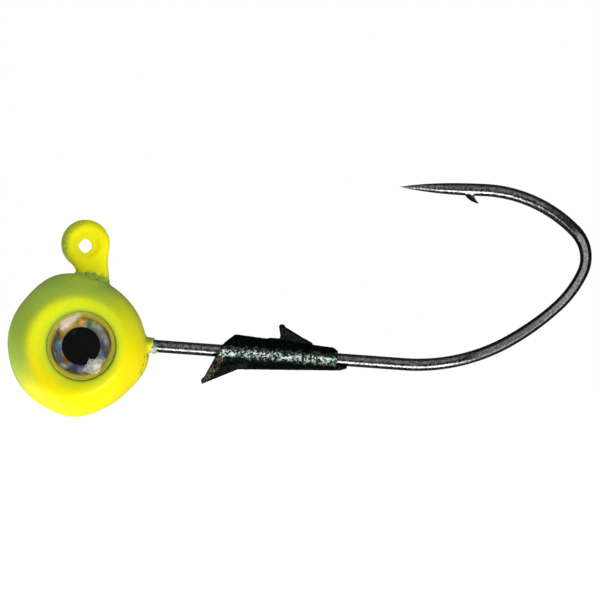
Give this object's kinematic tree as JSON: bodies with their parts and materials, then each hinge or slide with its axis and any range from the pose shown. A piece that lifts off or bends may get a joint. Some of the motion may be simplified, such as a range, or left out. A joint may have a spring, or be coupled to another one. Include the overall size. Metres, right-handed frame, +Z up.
{
  "type": "jig head",
  "caption": "Ball-shaped fishing jig head cast on an upturned-eye hook, with raised eyes, a painted line tie and a barbed bait keeper.",
  "frame": {"origin": "centre of the hole through the painted line tie", "axes": "+X along the shank from the head towards the hook's bend, +Z up the eye leg, +Y across the hook along the line-tie hole; the part is symmetric about the XZ plane"},
  "size_m": [0.0577, 0.0126, 0.026],
  "materials": {
    "hook_wire": "black nickel over forged carbon steel",
    "cast_lead": "cast lead alloy, as moulded",
    "undercoat": "flat white undercoat",
    "chartreuse_paint": "gloss fluorescent chartreuse",
    "keeper_green": "near-black green, lightly pitted, semi-matt",
    "eye_adhesive": "double-sided adhesive pad",
    "iris_foil": "prismatic metallised film",
    "pupil_ink": "black ink",
    "lens_resin": "clear domed resin"
  },
  "bodies": {
    "root": {"hook": "hook_wire", "lead_head": "cast_lead", "base_coat": "undercoat", "paint_coat": "chartreuse_paint", "bait_keeper": "keeper_green", "left_eye_adhesive": "eye_adhesive", "left_eye_foil": "iris_foil", "left_eye_pupil": "pupil_ink", "left_eye_lens": "lens_resin", "right_eye_adhesive": "eye_adhesive", "right_eye_foil": "iris_foil", "right_eye_pupil": "pupil_ink", "right_eye_lens": "lens_resin"}
  },
  "joints": []
}
